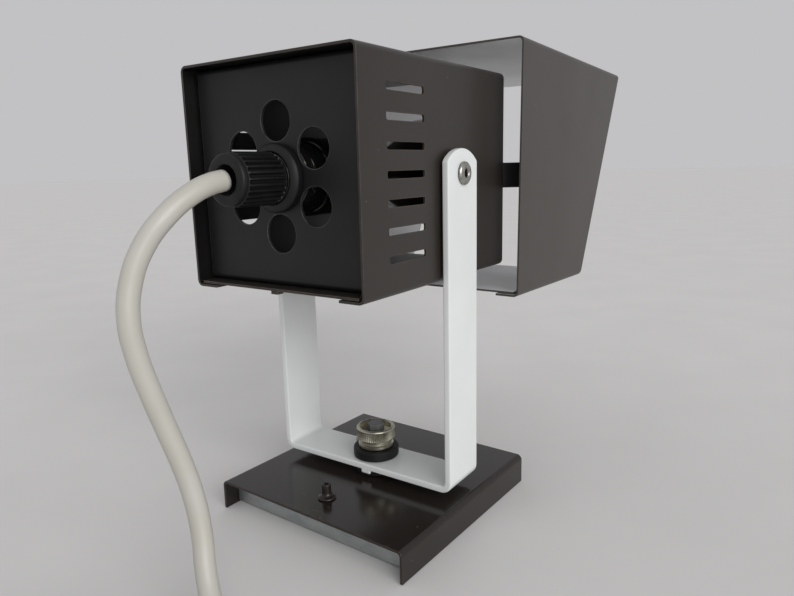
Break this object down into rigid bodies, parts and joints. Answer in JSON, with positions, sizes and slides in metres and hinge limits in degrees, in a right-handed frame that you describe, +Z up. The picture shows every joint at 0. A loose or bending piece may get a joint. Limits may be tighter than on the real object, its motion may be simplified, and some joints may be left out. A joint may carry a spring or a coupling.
{
  "type": "adjustable box spot lamp",
  "caption": "Small box spot lamp: square vented sheet housing and larger slant-cut hood, tilting in a strap yoke that swivels on a folded base plate, with a round flex and plug.",
  "frame": {"origin": "centre of the base's underside, on the swivel axis", "axes": "+Z up from the base; -Y the way the lamp shines at rest; +Y the rear, where the flex comes out; X along the tilt axis"},
  "size_m": [0.1553, 0.4138, 0.2021],
  "materials": {
    "brown_paint": "satin brown stove enamel on folded sheet",
    "hood_paint": "satin brown stove enamel outside, white inside",
    "white_paint": "smooth white enamel",
    "black_paint": "satin black enamel",
    "black_plastic": "black moulded plastic",
    "holder_plastic": "glossy black moulded lampholder",
    "zinc": "dull zinc plate",
    "nickel": "worn nickel plate",
    "brass": "brass",
    "flex": "white sheathed round flex",
    "white_plastic": "white moulded plastic",
    "ceramic": "cream ceramic",
    "wire_brown": "brown core insulation",
    "wire_blue": "blue core insulation",
    "glass": "silvered and frosted reflector bulb"
  },
  "bodies": {
    "base": {"base_cover": "brown_paint", "wall_plate": "zinc", "swivel_bolt": "zinc", "bolt_cap": "black_plastic", "stop_stud": "brown_paint", "lower_washer": "black_plastic"},
    "yoke": {"yoke": "white_paint", "upper_washer": "black_plastic", "pivot_rivet_left": "zinc", "pivot_rivet_right": "zinc", "pivot_spacer_left": "black_plastic", "pivot_spacer_right": "black_plastic", "cord_tube": "flex", "cord_coil": "flex", "cord_tie": "black_plastic", "plug_body": "white_plastic", "plug_pin_1": "nickel", "plug_pin_2": "nickel"},
    "nut": {"knurled_nut": "nickel"},
    "head": {"housing_shell": "brown_paint", "housing_floor": "brown_paint", "rear_plate": "black_paint", "earth_screw": "brass", "earth_tag": "brass", "earth_nut": "brass", "holder_cap": "holder_plastic", "holder_collar": "holder_plastic", "cord_grip_nut": "black_plastic", "holder_skirt": "holder_plastic", "holder_insert": "ceramic", "screw_shell": "brass", "centre_contact": "brass", "terminal_screw_live": "brass", "terminal_screw_neutral": "brass", "live_wire": "wire_brown", "neutral_wire": "wire_blue", "hood_shell": "hood_paint", "hood_floor": "hood_paint", "hood_strap_left": "black_paint", "hood_strap_right": "black_paint"},
    "bulb": {"bulb_cap": "brass", "bulb_glass": "glass"}
  },
  "joints": [
    {"name": "yoke_swivel", "type": "hinge", "parent": "base", "child": "yoke", "pos_m": [0, 0, 0.0173], "axis": [0, 0, 1], "range_deg": [-62, 62]},
    {"name": "head_tilt", "type": "hinge", "parent": "yoke", "child": "head", "pos_m": [0, 0, 0.1475], "axis": [1, 0, 0], "range_deg": [-70, 20], "deforming": ["cord_tube"]},
    {"name": "nut_turn", "type": "hinge", "parent": "base", "child": "nut", "pos_m": [0, 0, 0.03], "axis": [0, 0, 1], "range_deg": [0, 360]},
    {"name": "bulb_turn", "type": "hinge", "parent": "head", "child": "bulb", "pos_m": [0, 0, 0.1475], "axis": [0, -1, 0], "range_deg": [0, 360]}
  ]
}
